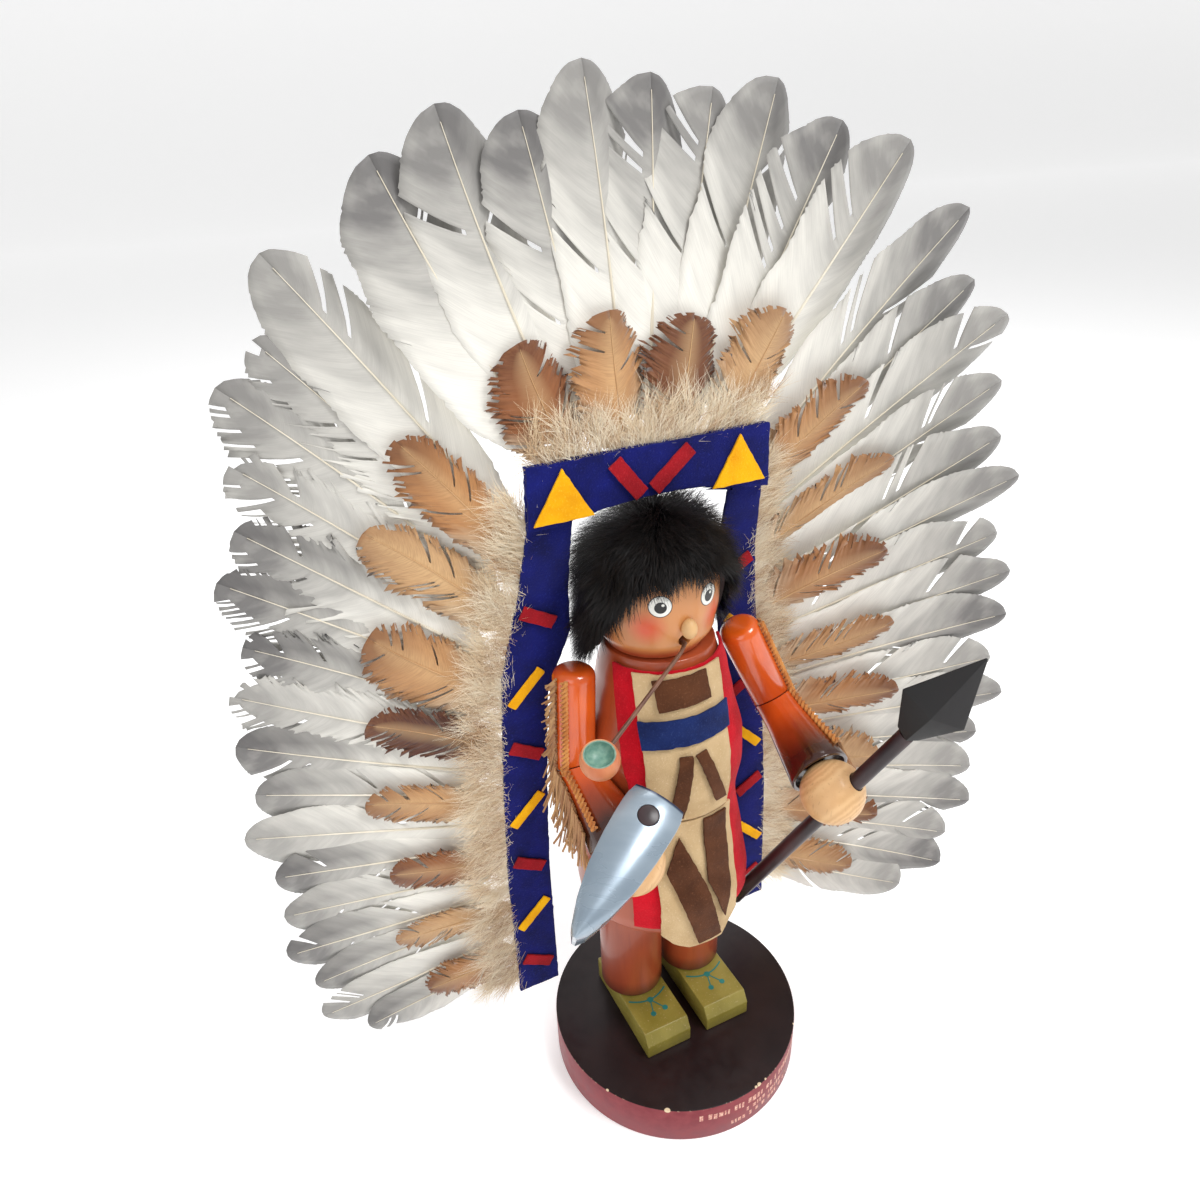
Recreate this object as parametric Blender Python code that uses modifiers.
"""Turned-wood incense smoker figure on a round plinth, with a feather headdress, a pipe, a spear
and a hatchet. Metres, +Z up. The origin is the middle of the plinth's underside, and the figure
looks along -Y, so its left hand is on the +X side."""

import math
from math import radians

import bmesh
import bpy
from mathutils import Matrix, Vector

MM = 0.001

# Clearance that separate pieces keep where they touch
GAP = 0.3 * MM

# Plinth
PLINTH_RADIUS = 44.0 * MM
PLINTH_HEIGHT = 15.5 * MM
PLINTH_EDGE = 0.5 * MM

# Shoes and legs
SHOE_INNER = 3.4 * MM
SHOE_WIDTH = 17.1 * MM
SHOE_TOE = -17.6 * MM
SHOE_HEEL = 22.0 * MM
SHOE_HEIGHT = 9.4 * MM
SHOE_TOE_HEIGHT = 5.4 * MM
SHOE_TOE_SLOPE = 2.5 * MM
LEG_RADIUS = 11.1 * MM
LEG_LENGTH = 44.6 * MM
LEG_SPACING = 24.2 * MM
BODY_Y = 10.5 * MM

# Lower body, upper body and the smoke chamber between them
LOWER_BODY_HEIGHT = 45.0 * MM
UPPER_BODY_HEIGHT = 51.5 * MM
RIM_RADIUS = 28.3 * MM
HIP_RADIUS = 28.8 * MM
WAIST_RADIUS = 23.4 * MM
CHEST_RADIUS = 25.3 * MM
COLLAR_RADIUS = 17.0 * MM
CHAMBER_RADIUS = 16.0 * MM
CHAMBER_SHOULDER = 11.0 * MM
NECK_BORE_RADIUS = 4.0 * MM
SPIGOT_HEIGHT = 4.0 * MM
CONE_PLATE_RADIUS = 8.0 * MM
CONE_PLATE_DEPTH = 1.2 * MM

# Head, nose and hair
HEAD_X = -1.5 * MM
HEAD_RADIUS = 19.2 * MM
HEAD_HEIGHT = 39.0 * MM
HEAD_CHIN_RADIUS = 14.6 * MM
MOUTH_HEIGHT = 7.2 * MM
MOUTH_RADIUS = 2.1 * MM
NOSE_HEIGHT = 11.8 * MM
NOSE_RADIUS = 2.3 * MM
NOSE_LENGTH = 6.2 * MM
HAIR_THICK = 4.0 * MM
HAIR_THIN = 1.6 * MM
HAIR_ROOM = 1.2 * MM
HAIR_FRONT_DROP = 10.5 * MM
HAIR_BACK_DROP = 45.0 * MM

# Arms
ARM_RADIUS = 6.5 * MM
CUFF_RADIUS = 9.8 * MM
CUFF_RECESS_RADIUS = 8.5 * MM
CUFF_RECESS_DEPTH = 2.8 * MM
HAND_RADIUS = 10.0 * MM
HAND_SEAT = 0.3 * MM
RIGHT_SHOULDER = Vector((-28.7, 10.5, 164.0)) * MM
RIGHT_ELBOW = Vector((-31.0, 8.5, 130.5)) * MM
RIGHT_HAND = Vector((-26.6, -20.4, 112.9)) * MM
LEFT_SHOULDER = Vector((25.9, 7.0, 164.9)) * MM
LEFT_ELBOW = Vector((40.5, 6.0, 133.5)) * MM
LEFT_HAND = Vector((38.0, -30.6, 120.7)) * MM

# Fringed strips along the outer side of the arms
FRINGE_THICKNESS = 1.4 * MM
FRINGE_BACK = 9.0 * MM
FRINGE_DROP = 19.0 * MM

# Spear, through the left hand
SPEAR_RADIUS = 2.5 * MM
SPEAR_AXIS = Vector((0.254, -0.417, 0.872)).normalized()
SPEAR_FLAT = Vector((0.581, -0.655, -0.483)).normalized()
SPEAR_OFFSET = Vector((1.3, -2.2, -0.7)) * MM
SPEAR_BELOW_HAND = 68.0 * MM
SPEAR_ABOVE_HAND = 34.0 * MM
SPEARHEAD_LENGTH = 34.5 * MM
SPEARHEAD_WIDTH = 20.0 * MM
SPEARHEAD_THICKNESS = 9.0 * MM
SPEARHEAD_SHOULDER = 12.0 * MM
SPEARHEAD_NECK = 7.0 * MM

# Hatchet, through the right hand
HANDLE_RADIUS = 2.75 * MM
HANDLE_AXIS = Vector((-0.149, -0.513, 0.845)).normalized()
HANDLE_ABOVE_HAND = 45.4 * MM
HANDLE_BELOW_HAND = 13.0 * MM
HATCHET_AXIS = Vector((-0.809, -0.428, -0.402)).normalized()
HATCHET_BUTT = 6.5 * MM
HATCHET_REACH = 34.5 * MM
HATCHET_WIDTH = 16.0 * MM
HATCHET_HEIGHT = 11.0 * MM
HATCHET_CROWN = 1.4 * MM
BORE_CLEARANCE = 0.3 * MM

# Pipe
PIPE_STEM_RADIUS = 0.6 * MM
PIPE_STEM_INSERT = 2.5 * MM
PIPE_BOWL_RADIUS = 5.4 * MM
PIPE_BOWL_RIM = 2.8 * MM
PIPE_BOWL_RECESS = 3.2 * MM
PIPE_BOWL_CENTRE = Vector((-39.1, -28.2, 160.0)) * MM
PIPE_BOWL_AXIS = Vector((-0.15, -0.30, 0.94)).normalized()

# Felt and suede clothes on the body, from the middle of the front
CLOTH_THICKNESS = 1.0 * MM
TRIM_THICKNESS = 0.8 * MM
RED_BIB_HALF = 24.5 * MM
TAN_BIB_HALF = 13.4 * MM
TAN_BIB_SHIFT = -3.6 * MM
APRON_SHIFT = -1.4 * MM
APRON_OVERHANG = 4.5 * MM
CLOTH_GAP = 0.5 * MM
CLOTH_STEP = 4.0 * MM
CLOTH_ROW = 5.8 * MM

# Headdress felt: half widths at heights above the ground
FELT_THICKNESS = 1.5 * MM
FELT_BOTTOM = 29.0 * MM
FELT_TOP = 227.0 * MM
BAND_BOTTOM = 209.0 * MM
BAND_ARCH = 3.2 * MM
BAND_HALF_WIDTH = 38.0 * MM
BAND_SHIFT = -0.8 * MM
BAND_Y = 10.4 * MM
FELT_Y = 18.3 * MM
LEAN_START = 186.0 * MM
LEAN_END = 211.0 * MM
FELT_INNER_TOP = 25.5 * MM
STRIP_WIDTH = 15.0 * MM
STRIP_SPREAD_TOP = 172.0 * MM
STRIP_SPREAD_BOTTOM = 152.0 * MM
RIGHT_OUTER = ((29, 53.0), (85, 53.0), (118, 51.6), (160, 48.6), (188, 41.0), (209, 38.8))
LEFT_OUTER = ((29, 51.4), (85, 49.4), (118, 46.5), (165, 41.0), (188, 39.6), (209, 37.2))
DASH_LENGTH = 14.0 * MM
DASH_WIDTH = 4.6 * MM
BAND_DASHES = (("right", -9.6, 219.0, -52, 13.5), ("left", 4.2, 219.5, 40, 15.5))
STRIP_DASH_TOP = 179.0 * MM
STRIP_DASH_STEP = 22.8 * MM
STRIP_DASHES = 7
RED_DASH = (11.2 * MM, 4.2 * MM, 30)
YELLOW_DASH = (15.0 * MM, 3.4 * MM, -45)
TRIANGLE_WIDTH = 18.0 * MM
TRIANGLE_HEIGHT = 15.0 * MM

# Feathers
FEATHER_THICKNESS = 1.3 * MM
SHINGLE = radians(5)
QUILL_WIDTH = 19.0 * MM
CROWN_QUILL_WIDTH = 22.0 * MM
PLUME_WIDTH = 15.0 * MM
SIDE_QUILLS = 17
CROWN_QUILLS = 9
SIDE_PLUMES = 8
CROWN_PLUMES = 4
ROOT_BAND = 7.0 * MM
ROOT_DEPTH = 1.8 * MM
FEATHER_GAP = 2.3 * MM
WING_START = 38.0 * MM
RIGHT_WING_SLOPE = 0.15
LEFT_WING_SLOPE = -0.45
CROWN_LEAN = 0.05

LINEAR_LIMIT = 0.0001
ROUND_SIDES = 28

# Heights worked out from the sizes above
PLINTH_TOP = PLINTH_HEIGHT
SHOE_BASE = PLINTH_TOP + GAP
SHOE_TOP = SHOE_BASE + SHOE_HEIGHT
LEG_BASE = SHOE_TOP + GAP
LEG_TOP = LEG_BASE + LEG_LENGTH
RIM_Z = LEG_TOP + GAP
WAIST_Z = RIM_Z + LOWER_BODY_HEIGHT
CHEST_BASE = WAIST_Z + GAP
COLLAR_Z = CHEST_BASE + UPPER_BODY_HEIGHT
HEAD_BASE = COLLAR_Z + GAP
HEAD_TOP = HEAD_BASE + HEAD_HEIGHT


def clear_scene():
    for old in list(bpy.data.objects):
        bpy.data.objects.remove(old, do_unlink=True)


def collection(name):
    group = bpy.data.collections.new(name)
    bpy.context.scene.collection.children.link(group)
    return group


clear_scene()
MODEL = collection("incense_smoker")
CUTTERS = collection("cutters")


def paint(name, colour, roughness=0.5):
    material = bpy.data.materials.new(name)
    material.use_nodes = True
    shader = material.node_tree.nodes["Principled BSDF"]
    shader.inputs["Base Color"].default_value = (*colour, 1.0)
    shader.inputs["Roughness"].default_value = roughness
    return material


MATERIALS = {
    "plinth_paint": paint("plinth_paint", (0.30, 0.05, 0.06), 0.35),
    "shoe_paint": paint("shoe_paint", (0.26, 0.22, 0.04), 0.4),
    "leg_stain": paint("leg_stain", (0.38, 0.09, 0.03), 0.3),
    "body_stain": paint("body_stain", (0.40, 0.12, 0.04), 0.3),
    "arm_stain": paint("arm_stain", (0.75, 0.18, 0.02), 0.25),
    "natural_wood": paint("natural_wood", (0.70, 0.45, 0.22), 0.5),
    "black_fur": paint("black_fur", (0.01, 0.01, 0.01), 0.8),
    "black_paint": paint("black_paint", (0.02, 0.015, 0.02), 0.4),
    "steel_blue_paint": paint("steel_blue_paint", (0.45, 0.55, 0.65), 0.3),
    "dark_stain": paint("dark_stain", (0.12, 0.05, 0.03), 0.5),
    "red_felt": paint("red_felt", (0.60, 0.01, 0.02), 0.95),
    "blue_felt": paint("blue_felt", (0.01, 0.015, 0.25), 0.95),
    "yellow_felt": paint("yellow_felt", (0.90, 0.50, 0.01), 0.95),
    "tan_suede": paint("tan_suede", (0.60, 0.45, 0.25), 0.95),
    "brown_felt": paint("brown_felt", (0.10, 0.04, 0.02), 0.95),
    "fringe_suede": paint("fringe_suede", (0.35, 0.15, 0.06), 0.95),
    "white_feather": paint("white_feather", (0.75, 0.73, 0.68), 0.7),
    "brown_feather": paint("brown_feather", (0.45, 0.22, 0.08), 0.8),
}


def add_object(name, mesh, material, group=MODEL):
    """Put a mesh in the model, or among the cutters when no material is given."""
    obj = bpy.data.objects.new(name, mesh)
    group.objects.link(obj)
    if material:
        mesh.materials.append(MATERIALS[material])
    if group is CUTTERS:
        obj.hide_render = True
        obj.display_type = "WIRE"
    return obj


def finish_mesh(name, bm, material, group=MODEL):
    bmesh.ops.recalc_face_normals(bm, faces=bm.faces)
    mesh = bpy.data.meshes.new(name)
    bm.to_mesh(mesh)
    bm.free()
    return add_object(name, mesh, material, group)


def smooth(obj, angle=35):
    obj.data.shade_smooth()
    obj.data.set_sharp_from_angle(angle=radians(angle))
    return obj


def turned(name, profile, material, centre=(0, 0), sides=ROUND_SIDES, group=MODEL):
    """A lathe shape: (radius, height) pairs from the top down its outer side."""
    mesh = bpy.data.meshes.new(name)
    points = [(radius, 0, height) for radius, height in profile]
    mesh.from_pydata(points, [(i, i + 1) for i in range(len(points) - 1)], [])
    obj = add_object(name, mesh, material, group)
    obj.location = (centre[0], centre[1], 0)
    screw = obj.modifiers.new("turn", "SCREW")
    screw.steps = sides
    screw.render_steps = sides
    screw.use_merge_vertices = True
    screw.merge_threshold = LINEAR_LIMIT / 10
    screw.use_smooth_shade = True
    return obj


def aim(axis, side=Vector((1, 0, 0))):
    """A rotation that turns +Z to the axis and +X as near as possible to the side."""
    up = axis.normalized()
    across = (side - up * side.dot(up)).normalized()
    return Matrix((across, up.cross(across), up)).transposed().to_4x4()


def place(obj, point, axis, side=Vector((1, 0, 0))):
    obj.matrix_world = Matrix.Translation(point) @ aim(axis, side)
    return obj


def rod(name, start, end, radius, material, sides=16, group=MODEL):
    bm = bmesh.new()
    length = (end - start).length
    bmesh.ops.create_cone(bm, cap_ends=True, segments=sides, radius1=radius, radius2=radius,
                          depth=length)
    obj = finish_mesh(name, bm, material, group)
    place(obj, (start + end) / 2, end - start)
    return smooth(obj) if group is MODEL else obj


def subtract(obj, cutter):
    modifier = obj.modifiers.new("cut", "BOOLEAN")
    modifier.operation = "DIFFERENCE"
    modifier.solver = "EXACT"
    modifier.object = cutter


def blend(points, at):
    """A smooth value between (position, value) pairs that rise in position."""
    if at <= points[0][0]:
        return points[0][1]
    for (x0, y0), (x1, y1) in zip(points, points[1:]):
        if at <= x1:
            share = (at - x0) / (x1 - x0)
            eased = share * share * (3 - 2 * share)
            return y0 + (y1 - y0) * (0.5 * share + 0.5 * eased)
    return points[-1][1]


def straight(points, at):
    """A value on the straight lines between (position, value) pairs."""
    if at <= points[0][0]:
        return points[0][1]
    for (x0, y0), (x1, y1) in zip(points, points[1:]):
        if at <= x1:
            return y0 + (y1 - y0) * (at - x0) / (x1 - x0)
    return points[-1][1]


# Plinth, shoes and legs

def make_plinth():
    bm = bmesh.new()
    bmesh.ops.create_cone(bm, cap_ends=True, segments=56, radius1=PLINTH_RADIUS,
                          radius2=PLINTH_RADIUS, depth=PLINTH_HEIGHT)
    obj = finish_mesh("plinth", bm, "plinth_paint")
    obj.location = (0, 0, PLINTH_HEIGHT / 2)
    edge = obj.modifiers.new("edge", "BEVEL")
    edge.width = PLINTH_EDGE
    edge.segments = 1
    edge.limit_method = "ANGLE"
    edge.angle_limit = radians(60)
    return smooth(obj)


def make_shoe(name, side):
    """A block with a sloped toe, its side outline pushed across the shoe's width."""
    outline = [(SHOE_HEEL, 0), (SHOE_TOE, 0), (SHOE_TOE, SHOE_TOE_HEIGHT),
               (SHOE_TOE + SHOE_TOE_SLOPE, SHOE_HEIGHT), (SHOE_HEEL, SHOE_HEIGHT)]
    bm = bmesh.new()
    inner = side * SHOE_INNER
    corners = [bm.verts.new((inner, y, SHOE_BASE + z)) for y, z in outline]
    face = bm.faces.new(corners)
    pushed = bmesh.ops.extrude_face_region(bm, geom=[face])
    moved = [part for part in pushed["geom"] if isinstance(part, bmesh.types.BMVert)]
    bmesh.ops.translate(bm, verts=moved, vec=(side * SHOE_WIDTH, 0, 0))
    return finish_mesh(name, bm, "shoe_paint")


def make_leg(name, side):
    centre = Vector((side * LEG_SPACING / 2, BODY_Y, 0))
    return rod(name, centre + Vector((0, 0, LEG_BASE)), centre + Vector((0, 0, LEG_TOP)),
               LEG_RADIUS, "leg_stain", sides=ROUND_SIDES)


# Body

def lower_radius(share):
    """Radius of the lower body at a share of its height."""
    return blend(((0.0, RIM_RADIUS), (0.10, HIP_RADIUS), (0.30, HIP_RADIUS),
                  (0.58, (HIP_RADIUS + WAIST_RADIUS) / 2), (0.88, WAIST_RADIUS),
                  (1.0, WAIST_RADIUS)), share)


def upper_radius(share):
    """Radius of the upper body at a share of its height."""
    return blend(((0.0, WAIST_RADIUS + 0.3 * MM), (0.20, CHEST_RADIUS), (0.40, CHEST_RADIUS - 0.5 * MM),
                  (0.62, CHEST_RADIUS - 3.8 * MM), (0.80, COLLAR_RADIUS + 2.6 * MM),
                  (1.0, COLLAR_RADIUS)), share)


def body_radius(height):
    """Radius of the turned body at a height above the ground."""
    if height < CHEST_BASE:
        return lower_radius(max(0.0, (height - RIM_Z) / LOWER_BODY_HEIGHT))
    return upper_radius(min(1.0, (height - CHEST_BASE) / UPPER_BODY_HEIGHT))


def make_lower_body():
    rows = 8
    spigot = CHAMBER_RADIUS - GAP
    top = WAIST_Z + SPIGOT_HEIGHT
    profile = [(0, top - CONE_PLATE_DEPTH), (CONE_PLATE_RADIUS, top - CONE_PLATE_DEPTH),
               (CONE_PLATE_RADIUS, top), (spigot, top), (spigot, WAIST_Z)]
    for i in range(rows):
        share = 1 - i / (rows - 1)
        profile.append((lower_radius(share), RIM_Z + share * LOWER_BODY_HEIGHT))
    profile.append((0, RIM_Z))
    return turned("lower_body", profile, "body_stain", (0, BODY_Y))


def make_upper_body():
    """A hollow shell: its chamber is open below and has a bore up to the head."""
    rows = 9
    profile = [(NECK_BORE_RADIUS, COLLAR_Z)]
    for i in range(rows):
        share = 1 - i / (rows - 1)
        profile.append((upper_radius(share), CHEST_BASE + share * UPPER_BODY_HEIGHT))
    chamber_top = COLLAR_Z - CHAMBER_SHOULDER
    profile += [(CHAMBER_RADIUS, CHEST_BASE), (CHAMBER_RADIUS, chamber_top - 5 * MM),
                (CHAMBER_RADIUS - 4 * MM, chamber_top), (NECK_BORE_RADIUS, chamber_top)]
    profile.append(profile[0])
    return turned("upper_body", profile, "body_stain", (0, BODY_Y))


# Head, nose, hair

def head_radius(height):
    """Radius of the turned head at a height above its base: a dome over a tapered jaw."""
    dome = HEAD_HEIGHT - HEAD_RADIUS
    if height >= dome:
        rise = min(height - dome, HEAD_RADIUS)
        return math.sqrt(HEAD_RADIUS ** 2 - rise ** 2)
    return blend(((0.0, HEAD_CHIN_RADIUS), (0.28, HEAD_RADIUS * 0.93), (0.7, HEAD_RADIUS),
                  (1.0, HEAD_RADIUS)), height / dome)


def make_head():
    """The head, with the smoke passage from the neck out through the round mouth."""
    dome_steps = 6
    jaw_steps = 5
    dome = HEAD_HEIGHT - HEAD_RADIUS
    profile = [(0, HEAD_TOP)]
    for i in range(1, dome_steps + 1):
        angle = math.pi / 2 * i / dome_steps
        profile.append((HEAD_RADIUS * math.sin(angle), HEAD_BASE + dome + HEAD_RADIUS * math.cos(angle)))
    for i in range(1, jaw_steps + 1):
        height = dome * (1 - i / jaw_steps)
        profile.append((head_radius(height), HEAD_BASE + height))
    profile.append((0, HEAD_BASE))
    obj = turned("head", profile, "body_stain", (HEAD_X, BODY_Y))
    mouth = Vector((HEAD_X, BODY_Y, HEAD_BASE + MOUTH_HEIGHT))
    below = Vector((HEAD_X, BODY_Y, HEAD_BASE - 5 * MM))
    passage = rod("neck_passage", below, mouth + Vector((0, 0, MOUTH_RADIUS * 1.4)),
                  NECK_BORE_RADIUS * 0.8, None, 16, CUTTERS)
    opening = rod("mouth_hole", mouth + Vector((0, 1.0 * MM, 0)), mouth - Vector((0, HEAD_RADIUS * 1.5, 0)),
                  MOUTH_RADIUS, None, 16, CUTTERS)
    subtract(obj, passage)
    subtract(obj, opening)
    return obj


def head_front(height):
    """The point on the front of the head at a height above its base."""
    return Vector((HEAD_X, BODY_Y - head_radius(height), HEAD_BASE + height))


def make_nose():
    """A small rounded peg glued to the front of the head."""
    bm = bmesh.new()
    bmesh.ops.create_uvsphere(bm, u_segments=10, v_segments=8, radius=1.0)
    bmesh.ops.scale(bm, vec=(NOSE_RADIUS, NOSE_RADIUS * 1.1, NOSE_LENGTH / 2), verts=bm.verts)
    bmesh.ops.bisect_plane(bm, geom=bm.verts[:] + bm.edges[:] + bm.faces[:],
                           plane_co=(0, NOSE_RADIUS * 0.35, 0), plane_no=(0, 1, 0), clear_outer=True)
    bmesh.ops.holes_fill(bm, edges=[edge for edge in bm.edges if edge.is_boundary])
    obj = finish_mesh("nose", bm, "natural_wood")
    front = head_front(NOSE_HEIGHT)
    obj.location = front - Vector((0, NOSE_RADIUS * 0.35 + GAP + 0.25 * MM, 0))
    return smooth(obj)


def hair_drop(turn):
    """How far below the crown the hair's lower edge is, at a turn in degrees from the front."""
    return straight(((0, HAIR_FRONT_DROP), (35, HAIR_FRONT_DROP + 2 * MM), (62, 24 * MM),
                     (85, 38 * MM), (110, HAIR_BACK_DROP - 2 * MM), (180, HAIR_BACK_DROP)), turn)


def hair_point(turn, share):
    """Radius and height of the hair's inner side: over the dome of the head, then straight down."""
    radius = HEAD_RADIUS + HAIR_ROOM
    middle = HEAD_TOP - HEAD_RADIUS
    drop = hair_drop(turn)
    quarter = radius * math.pi / 2
    if drop <= radius:
        length = radius * math.acos(1 - drop / radius)
    else:
        length = quarter + drop - radius
    run = length * share
    if run <= quarter:
        return radius * math.sin(run / radius), middle + radius * math.cos(run / radius)
    return radius, middle - (run - quarter)


def make_hair():
    """A cap of fur over the head: an open grid with Solidify, thinner towards its lower edge."""
    columns = 20
    rows = 7
    bm = bmesh.new()
    weight = bm.verts.layers.deform.verify()
    crown = bm.verts.new((HEAD_X, BODY_Y, HEAD_TOP + HAIR_ROOM))
    crown[weight][0] = 1.0
    rings = []
    for row in range(1, rows + 1):
        ring = []
        for column in range(columns):
            turn = 360 * column / columns
            radius, height = hair_point(min(turn, 360 - turn), row / rows)
            angle = radians(turn)
            vert = bm.verts.new((HEAD_X + radius * math.sin(angle), BODY_Y - radius * math.cos(angle), height))
            drop = (HEAD_TOP - height) / HAIR_BACK_DROP
            vert[weight][0] = 1 - (1 - HAIR_THIN / HAIR_THICK) * min(1.0, max(0.0, drop)) ** 1.3
            ring.append(vert)
        rings.append(ring)
    for column in range(columns):
        after = (column + 1) % columns
        bm.faces.new((crown, rings[0][column], rings[0][after]))
        for upper, lower in zip(rings, rings[1:]):
            bm.faces.new((upper[column], lower[column], lower[after], upper[after]))
    obj = finish_mesh("hair", bm, "black_fur")
    obj.vertex_groups.new(name="thickness")
    shell = obj.modifiers.new("shell", "SOLIDIFY")
    shell.thickness = HAIR_THICK
    shell.offset = 1.0
    shell.vertex_group = "thickness"
    return smooth(obj, 60)


# Arms, hands and the fringed strips

def cut_flat(bm, point, normal):
    """Cut off what lies beyond a plane and close the cut."""
    bmesh.ops.bisect_plane(bm, geom=bm.verts[:] + bm.edges[:] + bm.faces[:], plane_co=point,
                           plane_no=normal, clear_outer=True)
    bmesh.ops.holes_fill(bm, edges=[edge for edge in bm.edges if edge.is_boundary])


def turned_bmesh(profile, sides):
    """A closed lathe shape as a bmesh about the Z axis, for pieces that are cut afterwards."""
    bm = bmesh.new()
    points = [bm.verts.new((radius, 0, height)) for radius, height in profile]
    edges = [bm.edges.new(pair) for pair in zip(points, points[1:])]
    bmesh.ops.spin(bm, geom=points + edges, cent=(0, 0, 0), axis=(0, 0, 1), angle=2 * math.pi,
                   steps=sides, use_merge=True, use_duplicate=False)
    bmesh.ops.remove_doubles(bm, verts=bm.verts, dist=LINEAR_LIMIT / 10)
    return bm


def make_body_room():
    """The space the body takes, that an arm lying against it is cut away from."""
    steps = 24
    profile = [(0, COLLAR_Z + GAP)]
    for i in range(steps):
        share = 1 - i / (steps - 1)
        profile.append((upper_radius(share) + GAP, CHEST_BASE + share * UPPER_BODY_HEIGHT))
    profile += [(upper_radius(0) + GAP, CHEST_BASE - GAP), (0, CHEST_BASE - GAP)]
    return turned("body_room", profile, None, (0, BODY_Y), 64, CUTTERS)


def make_arm(side_name, shoulder, elbow, hand, body_room):
    """Two turned lengths, mitred at the elbow, and the ball that is the hand."""
    upper_line = (elbow - shoulder).normalized()
    lower_line = (hand - elbow).normalized()
    mitre = (upper_line + lower_line).normalized()
    length = (elbow - shoulder).length
    reach = (hand - elbow).length
    spare = ARM_RADIUS * 1.5

    profile = [(0, 0), (ARM_RADIUS * 0.55, 0), (ARM_RADIUS * 0.88, -0.9 * MM), (ARM_RADIUS, -3 * MM),
               (ARM_RADIUS, -length - spare), (0, -length - spare)]
    bm = turned_bmesh(profile, 20)
    bmesh.ops.transform(bm, matrix=Matrix.Translation(shoulder) @ aim(-upper_line), verts=bm.verts)
    cut_flat(bm, elbow - mitre * GAP / 2, mitre)
    upper_arm = finish_mesh("upper_arm_" + side_name, bm, "arm_stain")
    subtract(upper_arm, body_room)
    smooth(upper_arm)

    floor = reach - HAND_RADIUS - HAND_SEAT
    rim = floor + CUFF_RECESS_DEPTH
    profile = [(0, floor), (CUFF_RECESS_RADIUS, floor), (CUFF_RECESS_RADIUS, rim), (CUFF_RADIUS, rim),
               (ARM_RADIUS + 0.5 * MM, rim * 0.35), (ARM_RADIUS, rim * 0.15), (ARM_RADIUS, -spare), (0, -spare)]
    bm = turned_bmesh(profile, 20)
    bmesh.ops.transform(bm, matrix=Matrix.Translation(elbow) @ aim(lower_line), verts=bm.verts)
    cut_flat(bm, elbow + mitre * GAP / 2, -mitre)
    forearm = finish_mesh("forearm_" + side_name, bm, "arm_stain")
    subtract(forearm, body_room)
    smooth(forearm)

    bm = bmesh.new()
    bmesh.ops.create_uvsphere(bm, u_segments=16, v_segments=10, radius=HAND_RADIUS)
    ball = finish_mesh("hand_" + side_name, bm, "natural_wood")
    return smooth(place(ball, hand, -lower_line))


def arm_stations(shoulder, elbow, hand):
    """Points along the arm with its radius there, from shoulder to cuff."""
    cuff = (hand - elbow).length - HAND_RADIUS
    line = (hand - elbow).normalized()
    rows = [(shoulder.lerp(elbow, share), ARM_RADIUS) for share in (0.08, 0.35, 0.62, 0.86)]
    rows.append((elbow + line * 2 * MM, ARM_RADIUS))
    for share in (0.35, 0.65, 0.95):
        radius = straight(((0.15, ARM_RADIUS), (0.35, ARM_RADIUS + 0.5 * MM), (1, CUFF_RADIUS)), share)
        rows.append((elbow + line * cuff * share, radius))
    return rows


def flat_part(direction, normal):
    """A direction turned into the plane that has the normal."""
    return (direction - normal * direction.dot(normal)).normalized()


def make_fringe(name, side, shoulder, elbow, hand):
    """A suede strip on the arm's outer side: it stands off to the back and hangs below."""
    outward = (hand - elbow).cross(shoulder - elbow).normalized()
    if outward.x * side < 0:
        outward = -outward
    stations = arm_stations(shoulder, elbow, hand)
    bm = bmesh.new()
    lines = []
    for index, (point, radius) in enumerate(stations):
        share = index / (len(stations) - 1)
        start = point + outward * (radius + GAP)
        back = flat_part(Vector((0, 1, 0)), outward) * FRINGE_BACK * blend(((0, 0.8), (0.35, 1.0), (0.6, 0.55), (1, 0.0)), share)
        drop = flat_part(Vector((0, 0, -1)), outward) * FRINGE_DROP * blend(((0, 0.1), (0.35, 0.35), (0.7, 1.0), (1, 0.75)), share)
        lines.append([bm.verts.new(start + (back + drop) * part) for part in (0.0, 0.5, 1.0)])
    for before, after in zip(lines, lines[1:]):
        for column in range(2):
            bm.faces.new((before[column], after[column], after[column + 1], before[column + 1]))
    obj = finish_mesh(name, bm, "fringe_suede")
    normal = obj.data.polygons[0].normal
    shell = obj.modifiers.new("shell", "SOLIDIFY")
    shell.thickness = FRINGE_THICKNESS
    shell.offset = 1.0 if normal.dot(outward) > 0 else -1.0
    return obj


# Spear, hatchet and pipe

def make_spear():
    middle = LEFT_HAND + SPEAR_OFFSET
    foot = middle - SPEAR_AXIS * SPEAR_BELOW_HAND
    neck = middle + SPEAR_AXIS * SPEAR_ABOVE_HAND
    rod("spear_shaft", foot, neck, SPEAR_RADIUS, "black_paint", sides=20)
    hole = rod("spear_hole", foot, neck, SPEAR_RADIUS + BORE_CLEARANCE, None, 20, CUTTERS)
    subtract(MODEL.objects["hand_left"], hole)

    sections = ((GAP, SPEARHEAD_NECK / 2, SPEARHEAD_NECK / 2),
                (SPEARHEAD_SHOULDER, SPEARHEAD_WIDTH / 2, SPEARHEAD_THICKNESS / 2),
                (SPEARHEAD_LENGTH, 0.4 * MM, 0.4 * MM))
    bm = bmesh.new()
    rings = []
    for height, half, depth in sections:
        corners = ((half, 0), (0, depth), (-half, 0), (0, -depth))
        rings.append([bm.verts.new((x, y, height)) for x, y in corners])
    close_loft(bm, rings)
    head = finish_mesh("spear_head", bm, "black_paint")
    return place(head, neck, SPEAR_AXIS, SPEAR_FLAT)


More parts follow.
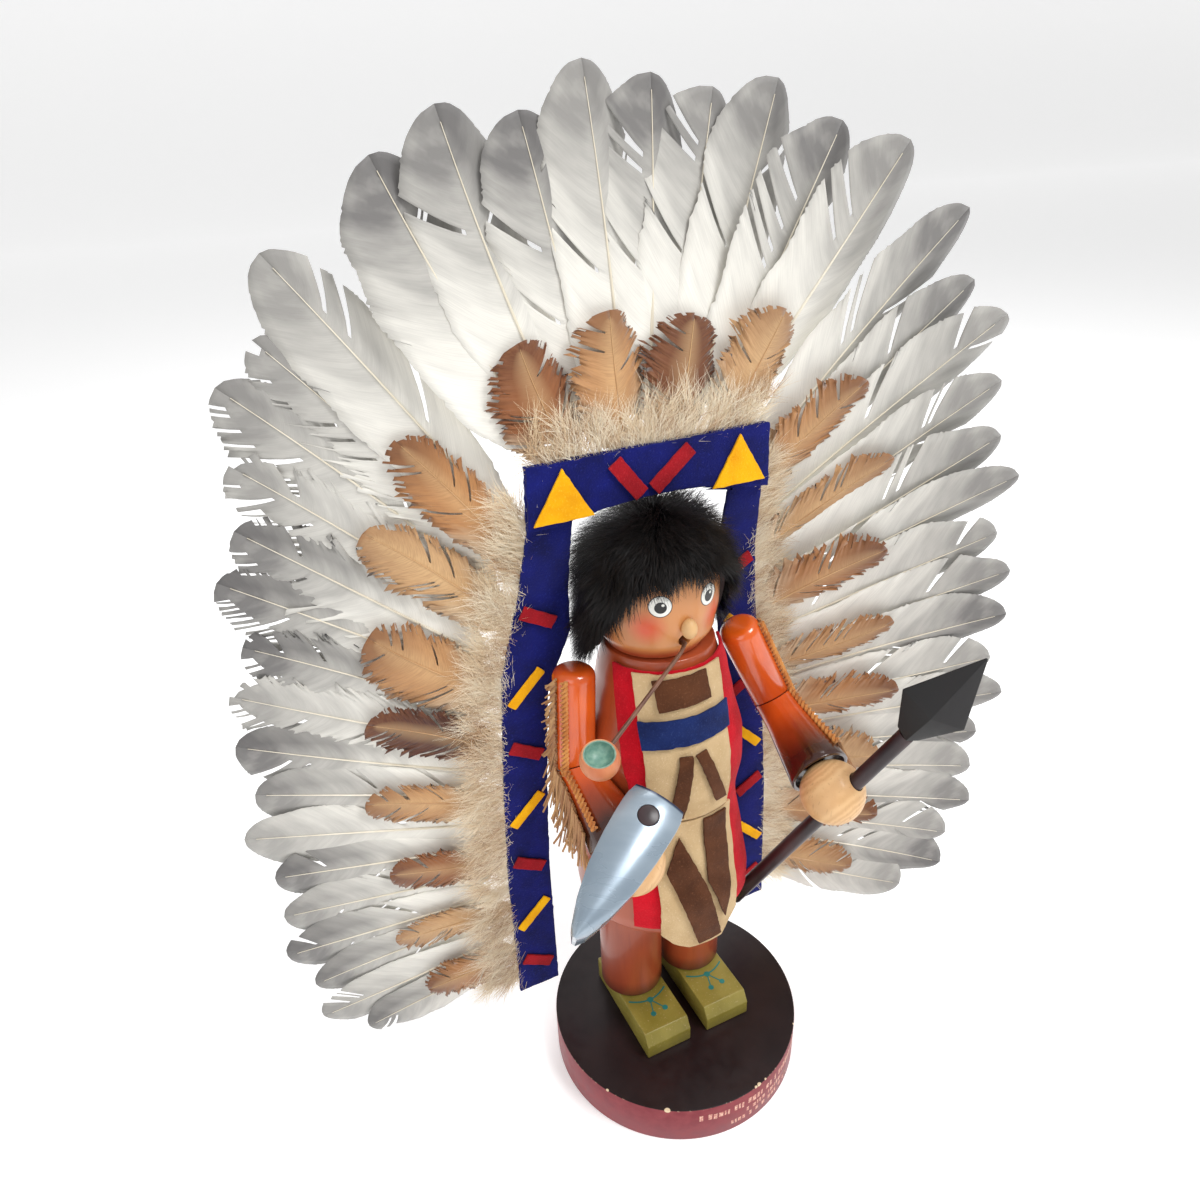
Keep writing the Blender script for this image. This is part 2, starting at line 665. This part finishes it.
def close_loft(bm, rings):
    """Join rings of the same count with faces and close both ends."""
    count = len(rings[0])
    for lower, upper in zip(rings, rings[1:]):
        for i in range(count):
            j = (i + 1) % count
            bm.faces.new((lower[i], lower[j], upper[j], upper[i]))
    bm.faces.new(list(reversed(rings[0])))
    bm.faces.new(rings[-1])


def make_hatchet():
    top = RIGHT_HAND + HANDLE_AXIS * HANDLE_ABOVE_HAND
    foot = RIGHT_HAND - HANDLE_AXIS * HANDLE_BELOW_HAND
    rod("hatchet_handle", foot, top, HANDLE_RADIUS, "black_paint", sides=20)
    hand_hole = rod("hatchet_hand_hole", foot, top, HANDLE_RADIUS + BORE_CLEARANCE, None, 20, CUTTERS)
    subtract(MODEL.objects["hand_right"], hand_hole)

    # Sections from butt to edge: reach, half width, crown, depth below the crown
    half = HATCHET_WIDTH / 2
    sections = ((-HATCHET_BUTT, half * 0.88, 0.0, 0.80), (-HATCHET_BUTT + 1.2 * MM, half * 0.96, 0.2, 0.92),
                (0, half, 0.6, 1.0), (HATCHET_REACH * 0.25, half * 0.96, 1.0, 1.0),
                (HATCHET_REACH * 0.50, half * 0.85, 1.0, 1.02), (HATCHET_REACH * 0.75, half * 0.59, 0.9, 1.06),
                (HATCHET_REACH * 0.95, half * 0.26, 0.7, 1.1), (HATCHET_REACH, half * 0.07, 0.4, 1.0))
    bm = bmesh.new()
    rings = []
    for reach, width, crown, depth in sections:
        peak = HATCHET_CROWN * (crown - 0.6)
        low = -HATCHET_HEIGHT * depth
        ring = ((width, -HATCHET_CROWN * 0.8), (width * 0.55, peak - HATCHET_CROWN * 0.15), (0, peak),
                (-width * 0.55, peak - HATCHET_CROWN * 0.15), (-width, -HATCHET_CROWN * 0.8),
                (-width * 0.92, low), (width * 0.92, low))
        rings.append([bm.verts.new((reach, y, z)) for y, z in ring])
    close_loft(bm, rings)
    blade = finish_mesh("hatchet_head", bm, "steel_blue_paint")
    place(blade, top, HANDLE_AXIS, HATCHET_AXIS)
    eye = rod("hatchet_eye", foot, top + HANDLE_AXIS * 5 * MM, HANDLE_RADIUS + BORE_CLEARANCE, None, 20, CUTTERS)
    subtract(blade, eye)
    return smooth(blade)


def make_pipe():
    mouth = head_front(MOUTH_HEIGHT)
    rest = MOUTH_RADIUS - PIPE_STEM_RADIUS - GAP
    tip = mouth + Vector((0, PIPE_STEM_INSERT, -rest))
    line = (PIPE_BOWL_CENTRE - tip).normalized()
    lip = mouth + Vector((0, -1.0 * MM, -rest))
    end = PIPE_BOWL_CENTRE - line * (PIPE_BOWL_RADIUS + GAP)
    stem = bpy.data.curves.new("pipe_stem", "CURVE")
    stem.dimensions = "3D"
    stem.bevel_depth = PIPE_STEM_RADIUS
    stem.bevel_resolution = 1
    stem.use_fill_caps = True
    spline = stem.splines.new("POLY")
    points = (tip, lip, end)
    spline.points.add(len(points) - 1)
    for slot, point in zip(spline.points, points):
        slot.co = (*point, 1)
    obj = bpy.data.objects.new("pipe_stem", stem)
    MODEL.objects.link(obj)
    stem.materials.append(MATERIALS["dark_stain"])

    steps = 7
    low = -math.pi / 2
    high = math.asin(PIPE_BOWL_RIM / PIPE_BOWL_RADIUS)
    rim = PIPE_BOWL_RADIUS * math.cos(high)
    profile = [(0, PIPE_BOWL_RIM - PIPE_BOWL_RECESS), (rim * 0.55, PIPE_BOWL_RIM - PIPE_BOWL_RECESS * 0.8),
               (rim * 0.88, PIPE_BOWL_RIM)]
    for i in range(steps):
        angle = high + (low - high) * i / (steps - 1)
        profile.append((PIPE_BOWL_RADIUS * math.cos(angle) if i < steps - 1 else 0,
                        PIPE_BOWL_RADIUS * math.sin(angle)))
    bowl = turned("pipe_bowl", profile, "natural_wood", sides=18)
    return place(bowl, PIPE_BOWL_CENTRE, PIPE_BOWL_AXIS)


# Clothes: flat outlines in millimetres wrapped round the body, so x runs round the front

def wrapped(x, height, lift):
    """The place of a cloth point: x is its distance round the body from the front."""
    radius = body_radius(height) + lift
    angle = x / (body_radius(height) + 1.0 * MM)
    return Vector((radius * math.sin(angle), BODY_Y - radius * math.cos(angle), height))


def make_cloth(name, corners, layer, thickness, material):
    """A convex piece of cloth: its corners go round anticlockwise as seen from the front."""
    lift = CLOTH_GAP + layer * (CLOTH_THICKNESS + CLOTH_GAP)
    low_x = min(x for x, _ in corners)
    high_x = max(x for x, _ in corners)
    low_z = min(z for _, z in corners)
    high_z = max(z for _, z in corners)
    across = max(1, round((high_x - low_x) / CLOTH_STEP))
    rows = max(1, round((high_z - low_z) / CLOTH_ROW))
    bm = bmesh.new()
    bmesh.ops.create_grid(bm, x_segments=across, y_segments=rows, size=0.5)
    bmesh.ops.scale(bm, vec=(high_x - low_x, high_z - low_z, 1), verts=bm.verts)
    bmesh.ops.translate(bm, vec=((high_x + low_x) / 2, (high_z + low_z) / 2, 0), verts=bm.verts)
    for (x0, z0), (x1, z1) in zip(corners, corners[1:] + corners[:1]):
        outward = Vector((z1 - z0, x0 - x1, 0))
        bmesh.ops.bisect_plane(bm, geom=bm.verts[:] + bm.edges[:] + bm.faces[:],
                               plane_co=(x0, z0, 0), plane_no=outward, clear_outer=True)
    bmesh.ops.remove_doubles(bm, verts=bm.verts, dist=LINEAR_LIMIT)
    for vert in bm.verts:
        vert.co = wrapped(vert.co.x, vert.co.y, lift)
    mesh = bpy.data.meshes.new(name)
    bm.to_mesh(mesh)
    bm.free()
    obj = add_object(name, mesh, material)
    shell = obj.modifiers.new("shell", "SOLIDIFY")
    shell.thickness = thickness
    shell.offset = 1.0
    return obj


def millimetres(*corners):
    return [(x * MM, z * MM) for x, z in corners]


def make_clothes():
    waist = WAIST_Z + GAP
    top = COLLAR_Z - 2.2 * MM
    hem = RIM_Z + 4.0 * MM
    tan_left = TAN_BIB_SHIFT - TAN_BIB_HALF
    tan_right = TAN_BIB_SHIFT + TAN_BIB_HALF
    make_cloth("bib_red", [(-RED_BIB_HALF + 4.5 * MM, waist + GAP), (RED_BIB_HALF - 4.5 * MM, waist + GAP),
                           (RED_BIB_HALF, waist + 20 * MM), (RED_BIB_HALF, top), (-RED_BIB_HALF, top),
                           (-RED_BIB_HALF, waist + 20 * MM)], 0, CLOTH_THICKNESS, "red_felt")
    make_cloth("bib_tan", [(tan_left, waist + GAP), (tan_right, waist + GAP), (tan_right, top),
                           (tan_left, top)], 1, CLOTH_THICKNESS, "tan_suede")
    make_cloth("bib_patch", millimetres((-10.8, 154.5), (3.8, 156.5), (3.2, 165.2), (-11.5, 163.8)),
               2, TRIM_THICKNESS, "brown_felt")
    make_cloth("bib_band", [(tan_left + 0.3 * MM, 142.8 * MM), (tan_right - 0.3 * MM, 144.8 * MM),
                            (tan_right - 0.3 * MM, 153.2 * MM), (tan_left + 0.3 * MM, 151.4 * MM)],
               2, TRIM_THICKNESS, "blue_felt")
    make_cloth("bib_strip_right", millimetres((-11.0, 118.5), (-6.3, 118.5), (-3.4, 140.5), (-7.2, 140.7)),
               2, TRIM_THICKNESS, "brown_felt")
    make_cloth("bib_strip_left", millimetres((3.2, 122.0), (7.2, 122.0), (0.6, 141.4), (-2.8, 140.4)),
               2, TRIM_THICKNESS, "brown_felt")

    apron_top = waist - 2 * GAP
    make_cloth("apron_red", [(-RED_BIB_HALF + 1 * MM, hem), (RED_BIB_HALF - 1 * MM, hem),
                             (RED_BIB_HALF, apron_top), (-RED_BIB_HALF, apron_top)],
               0, CLOTH_THICKNESS, "red_felt")
    left = APRON_SHIFT - TAN_BIB_HALF
    right = APRON_SHIFT + TAN_BIB_HALF
    foot = RIM_Z - APRON_OVERHANG
    make_cloth("apron_tan", [(left + 4 * MM, foot + 2.6 * MM), (left + 9 * MM, foot),
                             (right - 6 * MM, foot - 0.4 * MM), (right, foot + 9 * MM),
                             (right, apron_top), (left, apron_top), (left, foot + 7.5 * MM)],
               1, CLOTH_THICKNESS, "tan_suede")
    make_cloth("apron_strip_left", millimetres((0.3, 92.4), (5.6, 75.5), (8.0, 88.0), (8.2, 115.0), (0.3, 115.0)),
               2, TRIM_THICKNESS, "brown_felt")
    make_cloth("apron_strip_right", millimetres((-3.2, 68.0), (4.6, 68.6), (-0.5, 91.6), (-7.0, 110.0),
                                                (-11.8, 98.0)), 2, TRIM_THICKNESS, "brown_felt")


# Headdress felt

def felt_front(height):
    """The front face of the long felt strips leans forward towards the top."""
    return straight(((LEAN_START, FELT_Y), (LEAN_END, BAND_Y + FELT_THICKNESS + GAP)), height)


def outer_edge(side, height):
    table = [(z * MM, x * MM) for z, x in (RIGHT_OUTER if side < 0 else LEFT_OUTER)]
    return straight(table, height)


def flat_piece(name, outline, front, thickness, material):
    """A flat outline in the XZ plane as a solid whose front face is at y = front."""
    curve = bpy.data.curves.new(name, "CURVE")
    curve.dimensions = "2D"
    curve.fill_mode = "BOTH"
    curve.extrude = thickness / 2
    spline = curve.splines.new("POLY")
    spline.points.add(len(outline) - 1)
    spline.use_cyclic_u = True
    for slot, (x, z) in zip(spline.points, outline):
        slot.co = (x, z, 0, 1)
    guide = bpy.data.objects.new(name, curve)
    CUTTERS.objects.link(guide)
    bpy.context.view_layer.update()
    mesh = bpy.data.meshes.new_from_object(guide.evaluated_get(bpy.context.evaluated_depsgraph_get()))
    bpy.data.objects.remove(guide, do_unlink=True)
    bm = bmesh.new()
    bm.from_mesh(mesh)
    bpy.data.meshes.remove(mesh)
    bmesh.ops.remove_doubles(bm, verts=bm.verts, dist=LINEAR_LIMIT / 10)
    turn = Matrix.Translation((0, front + thickness / 2, 0)) @ Matrix.Rotation(radians(90), 4, "X")
    bmesh.ops.transform(bm, matrix=turn, verts=bm.verts)
    return bm


def arch(x):
    """How far the band's lower edge rises over the hair."""
    return BAND_BOTTOM + BAND_ARCH * max(0.0, 1 - (x / (BAND_HALF_WIDTH * 0.8)) ** 2)


def make_felt():
    """One inverted U of felt: a cross piece at the top and a strip hanging on each side."""
    heights = [29, 85, 118, 152, 160, 172, 188, 209]
    outline = []
    for side in (-1, 1):
        outer = [(side * outer_edge(side, z * MM), z * MM) for z in heights]
        inner = []
        for z in heights[:-1]:
            width = straight(((STRIP_SPREAD_BOTTOM, outer_edge(side, STRIP_SPREAD_BOTTOM) - STRIP_WIDTH),
                              (STRIP_SPREAD_TOP, FELT_INNER_TOP)), z * MM)
            if z * MM <= STRIP_SPREAD_BOTTOM:
                width = outer_edge(side, z * MM) - STRIP_WIDTH
            inner.append((side * width, z * MM))
        inner.append((side * FELT_INNER_TOP, arch(FELT_INNER_TOP)))
        top = (side * BAND_HALF_WIDTH + BAND_SHIFT, FELT_TOP)
        if side < 0:
            outline += list(reversed(inner)) + outer + [top]
        else:
            outline += [top] + list(reversed(outer)) + inner
    steps = 6
    outline += [(FELT_INNER_TOP * (1 - 2 * i / steps), arch(FELT_INNER_TOP * (1 - 2 * i / steps)))
                for i in range(1, steps)]
    bm = flat_piece("headdress_felt", outline, 0, FELT_THICKNESS, "blue_felt")
    for height in (LEAN_START, LEAN_END):
        bmesh.ops.bisect_plane(bm, geom=bm.verts[:] + bm.edges[:] + bm.faces[:],
                               plane_co=(0, 0, height), plane_no=(0, 0, 1))
    for vert in bm.verts:
        vert.co.y += felt_front(vert.co.z)
    finish_mesh("headdress_felt", bm, "blue_felt")


def make_band():
    steps = 8
    half = BAND_HALF_WIDTH
    outline = [(BAND_SHIFT - half, FELT_TOP), (BAND_SHIFT - half - 0.8 * MM, BAND_BOTTOM)]
    for i in range(1, steps):
        x = half * (2 * i / steps - 1)
        outline.append((x, arch(x)))
    outline += [(BAND_SHIFT + half - 0.4 * MM, BAND_BOTTOM - 1.5 * MM), (BAND_SHIFT + half, FELT_TOP)]
    bm = flat_piece("headdress_band", outline, BAND_Y, FELT_THICKNESS, "blue_felt")
    finish_mesh("headdress_band", bm, "blue_felt")


def make_badge(name, corners, front, material):
    bm = flat_piece(name, corners, front, TRIM_THICKNESS, material)
    finish_mesh(name, bm, material)


def dash(centre_x, centre_z, slope, length=DASH_LENGTH, width=DASH_WIDTH):
    """Corners of a short bar whose right end is higher by the slope angle."""
    along = Vector((math.cos(slope), math.sin(slope))) * length / 2
    across = Vector((-math.sin(slope), math.cos(slope))) * width / 2
    centre = Vector((centre_x, centre_z))
    return [tuple(centre + along * a + across * b) for a, b in ((-1, -1), (1, -1), (1, 1), (-1, 1))]


def make_trim():
    front = BAND_Y - GAP - TRIM_THICKNESS
    half = TRIANGLE_WIDTH / 2
    low = BAND_BOTTOM + 1.6 * MM
    for side_name, centre in (("right", -29.2 * MM), ("left", 26.6 * MM)):
        make_badge("band_triangle_" + side_name,
                   [(centre - half, low), (centre + half, low), (centre, low + TRIANGLE_HEIGHT)],
                   front, "yellow_felt")
    for side_name, x, z, slope, length in BAND_DASHES:
        make_badge("band_dash_" + side_name, dash(x * MM, z * MM, radians(slope), length * MM), front, "red_felt")

    # Dashes of the two hanging strips, in turn red and yellow from the top down
    front = FELT_Y - GAP - TRIM_THICKNESS
    for side_name, side in (("right", -1), ("left", 1)):
        for number in range(STRIP_DASHES):
            red = number % 2 == 0
            height = STRIP_DASH_TOP - STRIP_DASH_STEP * number
            length, width, slope = RED_DASH if red else YELLOW_DASH
            middle = side * (outer_edge(side, height) - STRIP_WIDTH / 2)
            make_badge("strip_dash_%s_%d" % (side_name, number + 1),
                       dash(middle, height, side * radians(slope), length, width),
                       front, "red_felt" if red else "yellow_felt")


# Feathers: each fan is a thin root band with its blades joined on

SIDE_TIPS = ((100, 20), (122, 42), (124, 84), (126, 130), (120, 178), (110, 232), (103, 262), (86, 288))
CROWN_TIPS = ((-74, 298), (-50, 309), (-17, 317), (12, 318), (44, 311), (64, 307), (80, 293))


def along(points, share):
    """A point at a share of the length of a polyline."""
    lengths = [(b - a).length for a, b in zip(points, points[1:])]
    left = share * sum(lengths)
    for a, b, length in zip(points, points[1:], lengths):
        if left <= length:
            return a.lerp(b, left / length)
        left -= length
    return points[-1]


def wing_shift(x):
    """How far back a wing lies at a distance to the side."""
    slope = RIGHT_WING_SLOPE if x < 0 else LEFT_WING_SLOPE
    return slope * max(0.0, abs(x) - WING_START)


def root_line(side, behind):
    """The line that a fan's feathers start from, a given distance behind the felt's front."""
    if side == 0:
        height = FELT_TOP - ROOT_BAND * 0.75
        return [Vector((x * MM, felt_front(height) + behind, height)) for x in (-31, -10, 10, 31)]
    heights = [36 * MM, 85 * MM, 118 * MM, 160 * MM, LEAN_START, 206 * MM]
    return [Vector((side * (outer_edge(side, height) - ROOT_BAND * 0.65), felt_front(height) + behind, height))
            for height in heights]


def tip_line(side):
    if side == 0:
        return [Vector((x * MM, 0, z * MM)) for x, z in CROWN_TIPS]
    return [Vector((side * x * MM, 0, z * MM)) for x, z in SIDE_TIPS]


def add_blade(bm, root, tip, width, thickness, shingle, knee):
    """A feather blade with a lens section: flat behind the felt, then bent towards its tip."""
    stations = ((0.0, 0.16), (knee, 0.45), (0.52, 0.96), (0.86, 0.95), (1.0, 0.16))
    forward = (tip - root).normalized()
    normal = Vector((0, -1, 0))
    normal = (normal - forward * normal.dot(forward)).normalized()
    normal.rotate(Matrix.Rotation(shingle, 3, forward))
    side = forward.cross(normal)
    rings = []
    for share, swell in stations:
        centre = root.lerp(tip, share)
        centre.y = root.y + (tip.y - root.y) * max(0.0, share - knee) / (1 - knee)
        half = width / 2 * swell
        depth = thickness / 2 * (1 - 0.6 * share)
        corners = (side * half, normal * depth, -side * half, -normal * depth)
        rings.append([bm.verts.new(centre + corner) for corner in corners])
    close_loft(bm, rings)


def add_root_band(bm, line, behind):
    """A thin strip along the roots, with a rectangular section, that follows the felt's back."""
    rings = []
    for index, point in enumerate(line):
        before = line[max(0, index - 1)]
        after = line[min(len(line) - 1, index + 1)]
        run = Vector((after.x - before.x, 0, after.z - before.z)).normalized()
        across = run.cross(Vector((0, 1, 0))) * ROOT_BAND / 2
        ring = []
        for step, depth in ((across, 1), (across, -1), (-across, -1), (-across, 1)):
            corner = point + step
            corner.y = felt_front(corner.z) + behind + depth * ROOT_DEPTH / 2
            ring.append(bm.verts.new(corner))
        rings.append(ring)
    close_loft(bm, rings)


def make_fan(name, side, count, width, length_share, behind, material):
    line = root_line(side, behind)
    tips = tip_line(side)
    bm = bmesh.new()
    add_root_band(bm, line, behind)
    band = finish_mesh(name, bm, material)
    blades = bmesh.new()
    shingle = SHINGLE if side >= 0 else -SHINGLE
    for index in range(count):
        share = (index + 0.5) / count
        root = along(line, 0.02 + 0.96 * share)
        tip = along(tips, share)
        lean = CROWN_LEAN * max(0.0, tip.z - FELT_TOP)
        tip.y = root.y + wing_shift(tip.x) - wing_shift(root.x) + lean
        reach = length_share * (1 + 0.04 * math.sin(2.4 * index))
        knee = ROOT_BAND * 1.2 / max(ROOT_BAND * 4, abs(tip.x - root.x)) / reach
        add_blade(blades, root, root.lerp(tip, reach), width, FEATHER_THICKNESS, shingle, min(0.4, knee))
    blade_object = finish_mesh(name + "_blades", blades, None, CUTTERS)
    union = band.modifiers.new("join", "BOOLEAN")
    union.operation = "UNION"
    union.solver = "EXACT"
    union.use_self = True
    union.object = blade_object
    return band


def make_feathers():
    front = FELT_THICKNESS + GAP + ROOT_DEPTH / 2
    back = front + ROOT_DEPTH + FEATHER_GAP
    for side_name, side in (("right", -1), ("left", 1)):
        make_fan("plumes_" + side_name, side, SIDE_PLUMES, PLUME_WIDTH, 0.52, front, "brown_feather")
        make_fan("quills_" + side_name, side, SIDE_QUILLS, QUILL_WIDTH, 0.97, back, "white_feather")
    make_fan("plumes_crown", 0, CROWN_PLUMES, PLUME_WIDTH, 0.42, front, "brown_feather")
    make_fan("quills_crown", 0, CROWN_QUILLS, CROWN_QUILL_WIDTH, 0.97, back, "white_feather")


def build():
    make_plinth()
    for side_name, side in (("right", -1), ("left", 1)):
        make_shoe("shoe_" + side_name, side)
        make_leg("leg_" + side_name, side)
    make_lower_body()
    make_upper_body()
    make_head()
    make_nose()
    make_hair()
    body_room = make_body_room()
    for side_name, side, shoulder, elbow, hand in (
            ("right", -1, RIGHT_SHOULDER, RIGHT_ELBOW, RIGHT_HAND),
            ("left", 1, LEFT_SHOULDER, LEFT_ELBOW, LEFT_HAND)):
        make_arm(side_name, shoulder, elbow, hand, body_room)
        make_fringe("fringe_" + side_name, side, shoulder, elbow, hand)
    make_spear()
    make_hatchet()
    make_pipe()
    make_clothes()
    make_felt()
    make_band()
    make_trim()
    make_feathers()


build()
